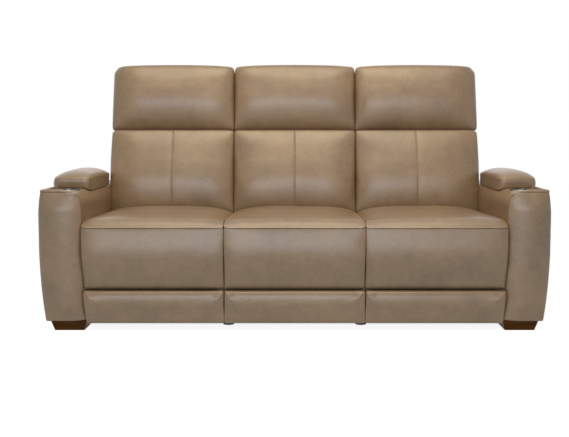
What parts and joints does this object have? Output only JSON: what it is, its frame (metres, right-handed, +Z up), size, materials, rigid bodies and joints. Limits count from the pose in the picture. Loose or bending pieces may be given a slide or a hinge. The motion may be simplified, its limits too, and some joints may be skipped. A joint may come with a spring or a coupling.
{
  "type": "power reclining sofa",
  "caption": "Three-seat leather power reclining sofa: end seats with pantograph leg rests, reclining backs and tilting headrests, arms with lidded bins and steel cup holders.",
  "frame": {"origin": "on the floor under the middle of the sofa", "axes": "+X along the sofa to the viewer's right, -Y toward the front, +Z up"},
  "size_m": [2.145, 0.9548, 1.151],
  "materials": {
    "taupe_leather": "semi-gloss pull-up leather, lightly mottled",
    "outside_leather": "semi-gloss leather",
    "frame_wood": "raw plywood and hardwood",
    "foot_wood": "brown satin stain",
    "mechanism_steel": "black satin paint",
    "cup_steel": "brushed stainless",
    "black_plastic": "moulded black plastic",
    "rocker_plastic": "smooth black plastic",
    "dust_cloth": "woven black dust cloth over board"
  },
  "bodies": {
    "base": {"recliner_bases": "mechanism_steel", "seat_frames": "frame_wood", "middle_frame": "frame_wood", "wooden_feet": "foot_wood", "centre_legs": "black_plastic", "power_supply": "black_plastic", "rear_panel": "dust_cloth", "cup_holders": "cup_steel", "switch_plates": "black_plastic", "middle_seat_cushion": "taupe_leather", "middle_upper_pad": "taupe_leather", "middle_lower_pad": "taupe_leather", "middle_back_cushion": "taupe_leather", "middle_headrest_cushion": "taupe_leather", "middle_back_cover": "outside_leather", "leg_motors": "black_plastic", "back_motors": "black_plastic", "right_seat_cushion": "taupe_leather", "right_arm_frame": "frame_wood", "right_arm_cover": "taupe_leather", "left_seat_cushion": "taupe_leather", "left_arm_frame": "frame_wood", "left_arm_cover": "taupe_leather"},
    "right_rear_links": {"right_rear_links": "mechanism_steel"},
    "right_carrier_links": {"right_carrier_links": "mechanism_steel"},
    "right_front_links": {"right_front_links": "mechanism_steel"},
    "right_upper_links": {"right_upper_links": "mechanism_steel"},
    "right_leg_rod": {"right_leg_rod": "mechanism_steel"},
    "right_back_rod": {"right_back_rod": "mechanism_steel"},
    "right_recline_rocker": {"right_recline_rocker": "rocker_plastic"},
    "right_headrest_rocker": {"right_headrest_rocker": "rocker_plastic"},
    "right_legrest": {"right_legrest_frame": "frame_wood", "right_upper_pad": "taupe_leather", "right_lower_pad": "taupe_leather"},
    "right_back": {"right_back_frame": "frame_wood", "right_back_cushion": "taupe_leather", "right_back_cover": "outside_leather"},
    "right_headrest": {"right_headrest_frame": "frame_wood", "right_headrest_cushion": "taupe_leather"},
    "right_lid": {"right_arm_lid": "taupe_leather"},
    "left_rear_links": {"left_rear_links": "mechanism_steel"},
    "left_carrier_links": {"left_carrier_links": "mechanism_steel"},
    "left_front_links": {"left_front_links": "mechanism_steel"},
    "left_upper_links": {"left_upper_links": "mechanism_steel"},
    "left_leg_rod": {"left_leg_rod": "mechanism_steel"},
    "left_back_rod": {"left_back_rod": "mechanism_steel"},
    "left_recline_rocker": {"left_recline_rocker": "rocker_plastic"},
    "left_headrest_rocker": {"left_headrest_rocker": "rocker_plastic"},
    "left_legrest": {"left_legrest_frame": "frame_wood", "left_upper_pad": "taupe_leather", "left_lower_pad": "taupe_leather"},
    "left_back": {"left_back_frame": "frame_wood", "left_back_cushion": "taupe_leather", "left_back_cover": "outside_leather"},
    "left_headrest": {"left_headrest_frame": "frame_wood", "left_headrest_cushion": "taupe_leather"},
    "left_lid": {"left_arm_lid": "taupe_leather"}
  },
  "joints": [
    {"name": "right_rear_link_swing", "type": "hinge", "parent": "base", "child": "right_rear_links", "pos_m": [0.594, -0.275, 0.312], "axis": [-1, 0, 0], "range_deg": [0, 90]},
    {"name": "right_carrier_link_swing", "type": "hinge", "parent": "right_rear_links", "child": "right_carrier_links", "pos_m": [0.594, -0.164, 0.11], "axis": [1, 0, 0], "range_deg": [0, 90]},
    {"name": "right_legrest_tilt", "type": "hinge", "parent": "right_carrier_links", "child": "right_legrest", "pos_m": [0.594, -0.38, 0.264], "axis": [-1, 0, 0], "range_deg": [0, 90]},
    {"name": "right_front_link_swing", "type": "hinge", "parent": "base", "child": "right_front_links", "pos_m": [0.594, -0.345, 0.312], "axis": [-1, 0, 0], "range_deg": [0, 90]},
    {"name": "right_upper_link_swing", "type": "hinge", "parent": "right_front_links", "child": "right_upper_links", "pos_m": [0.594, -0.234, 0.2], "axis": [1, 0, 0], "range_deg": [0, 90]},
    {"name": "right_leg_rod_slide", "type": "slide", "parent": "base", "child": "right_leg_rod", "axis": [0, -1, 0], "range_m": [0, 0.08485]},
    {"name": "right_back_recline", "type": "hinge", "parent": "base", "child": "right_back", "pos_m": [0.594, 0.17, 0.385], "axis": [-1, 0, 0], "range_deg": [0, 35]},
    {"name": "right_back_rod_slide", "type": "slide", "parent": "base", "child": "right_back_rod", "axis": [0, -1, 0], "range_m": [0, 0.06616]},
    {"name": "right_headrest_tilt", "type": "hinge", "parent": "right_back", "child": "right_headrest", "pos_m": [0.594, 0.25891, 0.87154], "axis": [1, 0, 0], "range_deg": [0, 40]},
    {"name": "right_lid_open", "type": "hinge", "parent": "base", "child": "right_lid", "pos_m": [0.9805, 0.206, 0.594], "axis": [-1, 0, 0], "range_deg": [0, 92]},
    {"name": "right_recline_rocker_press", "type": "hinge", "parent": "base", "child": "right_recline_rocker", "pos_m": [1.0665, -0.28, 0.4], "axis": [0, 1, 0], "range_deg": [-6, 6], "stiffness_Nm_per_rad": 0.2},
    {"name": "right_headrest_rocker_press", "type": "hinge", "parent": "base", "child": "right_headrest_rocker", "pos_m": [1.0665, -0.24, 0.4], "axis": [0, 1, 0], "range_deg": [-6, 6], "stiffness_Nm_per_rad": 0.2},
    {"name": "left_rear_link_swing", "type": "hinge", "parent": "base", "child": "left_rear_links", "pos_m": [-0.594, -0.275, 0.312], "axis": [-1, 0, 0], "range_deg": [0, 90]},
    {"name": "left_carrier_link_swing", "type": "hinge", "parent": "left_rear_links", "child": "left_carrier_links", "pos_m": [-0.594, -0.164, 0.11], "axis": [1, 0, 0], "range_deg": [0, 90]},
    {"name": "left_legrest_tilt", "type": "hinge", "parent": "left_carrier_links", "child": "left_legrest", "pos_m": [-0.594, -0.38, 0.264], "axis": [-1, 0, 0], "range_deg": [0, 90]},
    {"name": "left_front_link_swing", "type": "hinge", "parent": "base", "child": "left_front_links", "pos_m": [-0.594, -0.345, 0.312], "axis": [-1, 0, 0], "range_deg": [0, 90]},
    {"name": "left_upper_link_swing", "type": "hinge", "parent": "left_front_links", "child": "left_upper_links", "pos_m": [-0.594, -0.234, 0.2], "axis": [1, 0, 0], "range_deg": [0, 90]},
    {"name": "left_leg_rod_slide", "type": "slide", "parent": "base", "child": "left_leg_rod", "axis": [0, -1, 0], "range_m": [0, 0.08485]},
    {"name": "left_back_recline", "type": "hinge", "parent": "base", "child": "left_back", "pos_m": [-0.594, 0.17, 0.385], "axis": [-1, 0, 0], "range_deg": [0, 35]},
    {"name": "left_back_rod_slide", "type": "slide", "parent": "base", "child": "left_back_rod", "axis": [0, -1, 0], "range_m": [0, 0.06616]},
    {"name": "left_headrest_tilt", "type": "hinge", "parent": "left_back", "child": "left_headrest", "pos_m": [-0.594, 0.25891, 0.87154], "axis": [1, 0, 0], "range_deg": [0, 40]},
    {"name": "left_lid_open", "type": "hinge", "parent": "base", "child": "left_lid", "pos_m": [-0.9805, 0.206, 0.594], "axis": [-1, 0, 0], "range_deg": [0, 92]},
    {"name": "left_recline_rocker_press", "type": "hinge", "parent": "base", "child": "left_recline_rocker", "pos_m": [-1.0665, -0.28, 0.4], "axis": [0, 1, 0], "range_deg": [-6, 6], "stiffness_Nm_per_rad": 0.2},
    {"name": "left_headrest_rocker_press", "type": "hinge", "parent": "base", "child": "left_headrest_rocker", "pos_m": [-1.0665, -0.24, 0.4], "axis": [0, 1, 0], "range_deg": [-6, 6], "stiffness_Nm_per_rad": 0.2}
  ],
  "couplings": [
    {"joint": "right_rear_link_swing", "follows": "right_legrest_tilt", "ratio": 1},
    {"joint": "right_carrier_link_swing", "follows": "right_legrest_tilt", "ratio": 1},
    {"joint": "right_front_link_swing", "follows": "right_legrest_tilt", "ratio": 1},
    {"joint": "right_upper_link_swing", "follows": "right_legrest_tilt", "ratio": 1},
    {"joint": "right_leg_rod_slide", "follows": "right_legrest_tilt", "m_per_rad": 0.054019},
    {"joint": "right_back_rod_slide", "follows": "right_back_recline", "m_per_rad": 0.1083},
    {"joint": "left_rear_link_swing", "follows": "left_legrest_tilt", "ratio": 1},
    {"joint": "left_carrier_link_swing", "follows": "left_legrest_tilt", "ratio": 1},
    {"joint": "left_front_link_swing", "follows": "left_legrest_tilt", "ratio": 1},
    {"joint": "left_upper_link_swing", "follows": "left_legrest_tilt", "ratio": 1},
    {"joint": "left_leg_rod_slide", "follows": "left_legrest_tilt", "m_per_rad": 0.054019},
    {"joint": "left_back_rod_slide", "follows": "left_back_recline", "m_per_rad": 0.1083}
  ]
}
